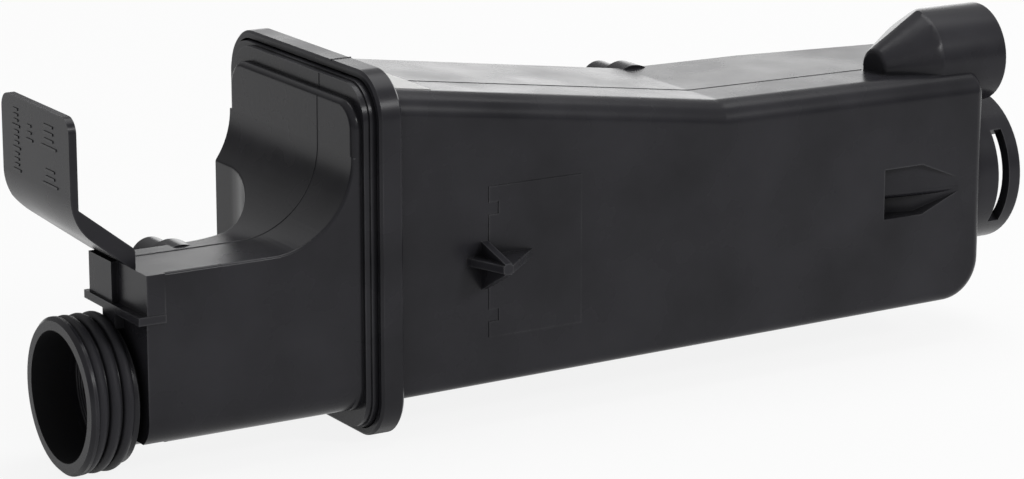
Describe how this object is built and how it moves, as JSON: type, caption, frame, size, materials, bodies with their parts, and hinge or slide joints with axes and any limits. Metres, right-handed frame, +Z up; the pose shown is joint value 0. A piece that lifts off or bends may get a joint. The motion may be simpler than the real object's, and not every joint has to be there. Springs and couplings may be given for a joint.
{
  "type": "coolant expansion tank",
  "caption": "Moulded coolant expansion tank with a threaded filler neck, a welded flange, an outlet pipe, a sensor collar and a level float on a rod.",
  "frame": {"origin": "centre of the filler neck's mouth", "axes": "+X along the tank from neck to outlet, +Z up, flat front faces -Y"},
  "size_m": [0.36, 0.1125, 0.1203],
  "materials": {
    "shell": "black moulded, satin",
    "label": "white film",
    "rod": "red moulded",
    "float": "natural moulded"
  },
  "bodies": {
    "tank": {"filler_head": "shell", "tank_body": "shell", "label": "label"},
    "float": {"level_rod": "rod", "level_float": "float"}
  },
  "joints": [
    {"name": "float_slide", "type": "slide", "parent": "tank", "child": "float", "axis": [-1, 0, 0], "range_m": [0, 0.03]}
  ]
}
